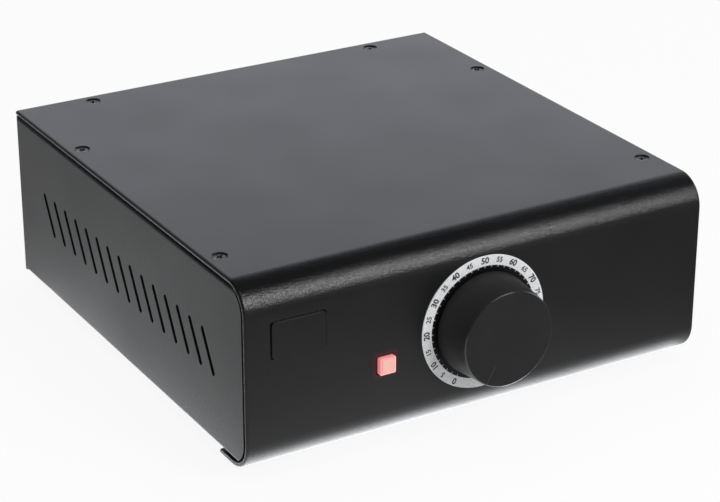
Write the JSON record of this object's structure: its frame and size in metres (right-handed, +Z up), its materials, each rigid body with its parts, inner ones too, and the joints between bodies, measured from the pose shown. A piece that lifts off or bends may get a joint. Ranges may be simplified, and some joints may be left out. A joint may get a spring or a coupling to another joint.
{
  "type": "studio monitor controller",
  "caption": "Desktop volume controller for studio monitors: folded steel case, large dial knob, lit mute button, slotted sides, and mains and signal sockets on the back.",
  "frame": {"origin": "on the table under the middle of the whole outline, knob and rear sockets included", "axes": "+X to the right of someone facing the knob, +Y to the back, +Z up"},
  "size_m": [0.215, 0.243, 0.0847],
  "materials": {
    "case_paint": "fine powder coat, satin",
    "chassis_paint": "fine powder coat, satin",
    "bright_screw": "nickel plated",
    "black_screw": "black zinc",
    "zinc": "zinc plated",
    "foot_rubber": "matt",
    "dial_metal": "satin, printed",
    "knob_metal": "black satin anodised aluminium",
    "shaft_metal": "turned",
    "bush_brass": "nickel plated brass",
    "phenolic": "moulded",
    "contact": "plated",
    "board_green": "coated board",
    "button_red": "lit translucent",
    "white_plastic": "moulded",
    "black_plastic": "moulded",
    "rocker_plastic": "polished",
    "selector_red": "moulded",
    "ribbon_grey": "flexible",
    "relay_case": "moulded",
    "sleeve_blue": "shrink sleeve",
    "sink_metal": "black anodised",
    "terminal_green": "moulded",
    "coil_tape": "wound tape over copper",
    "pad_rubber": "matt",
    "fuse_glass": "clear with plated caps",
    "shell_tin": "tinned steel",
    "lead_sleeve": "sleeved wire"
  },
  "bodies": {
    "case": {"badge_plate": "chassis_paint", "board_chips": "black_plastic", "board_headers": "black_plastic", "board_screws": "zinc", "board_standoffs": "shaft_metal", "capacitors": "sleeve_blue", "chassis_tray": "chassis_paint", "control_board": "board_green", "cover": "case_paint", "cover_screws": "bright_screw", "dial_plate": "dial_metal", "earth_lead": "lead_sleeve", "earth_screw": "zinc", "feet": "foot_rubber", "floor_nuts": "zinc", "foot_screws": "zinc", "ground_lift_body": "black_plastic", "heatsinks": "sink_metal", "inlet_blades": "bush_brass", "inlet_housing": "black_plastic", "main_board": "board_green", "mains_leads": "lead_sleeve", "mute_lamps": "white_plastic", "mute_spring": "zinc", "mute_switch": "black_plastic", "power_switch_body": "black_plastic", "power_terminal": "terminal_green", "rear_panel": "chassis_paint", "rear_panel_screws": "black_screw", "regulators": "black_plastic", "relays": "relay_case", "ribbon_cable": "ribbon_grey", "rivet_nuts": "zinc", "secondary_leads": "lead_sleeve", "socket_inserts": "black_plastic", "socket_jackscrews": "zinc", "socket_shells": "shell_tin", "transformer": "coil_tape", "transformer_bolt": "zinc", "transformer_dish": "zinc", "transformer_nut": "zinc", "transformer_pads": "pad_rubber", "voltage_selector_body": "black_plastic", "volume_bush": "bush_brass", "volume_gangs": "phenolic", "volume_nut": "zinc", "volume_riser_board": "board_green", "volume_tie_bolts": "zinc", "volume_washer": "zinc"},
    "volume_control": {"volume_knob": "knob_metal", "knob_grub_screw": "zinc", "volume_shaft": "shaft_metal", "volume_wipers": "contact"},
    "mute_key": {"mute_button": "button_red", "mute_plunger": "white_plastic"},
    "rocker": {"power_rocker": "rocker_plastic"},
    "selector": {"voltage_selector_slider": "selector_red"},
    "lift": {"ground_lift_slider": "rocker_plastic"},
    "fuse_carrier": {"fuse_drawer": "black_plastic", "fuse": "fuse_glass"}
  },
  "joints": [
    {"name": "volume_turn", "type": "hinge", "parent": "case", "child": "volume_control", "pos_m": [0, -0.1025, 0.0458], "axis": [0, 1, 0], "range_deg": [0, 300]},
    {"name": "mute_press", "type": "slide", "parent": "case", "child": "mute_key", "axis": [0, 1, 0], "range_m": [0, 0.0018], "stiffness_N_per_m": 600, "springref_m": -0.001, "deforming": ["mute_spring"]},
    {"name": "power_rock", "type": "hinge", "parent": "case", "child": "rocker", "pos_m": [0.092, 0.1165, 0.0675], "axis": [1, 0, 0], "range_deg": [-22, 0]},
    {"name": "voltage_slide", "type": "slide", "parent": "case", "child": "selector", "axis": [1, 0, 0], "range_m": [0, 0.005]},
    {"name": "ground_slide", "type": "slide", "parent": "case", "child": "lift", "axis": [1, 0, 0], "range_m": [0, 0.003]},
    {"name": "fuse_pull", "type": "slide", "parent": "case", "child": "fuse_carrier", "axis": [0, 1, 0], "range_m": [0, 0.013]}
  ]
}
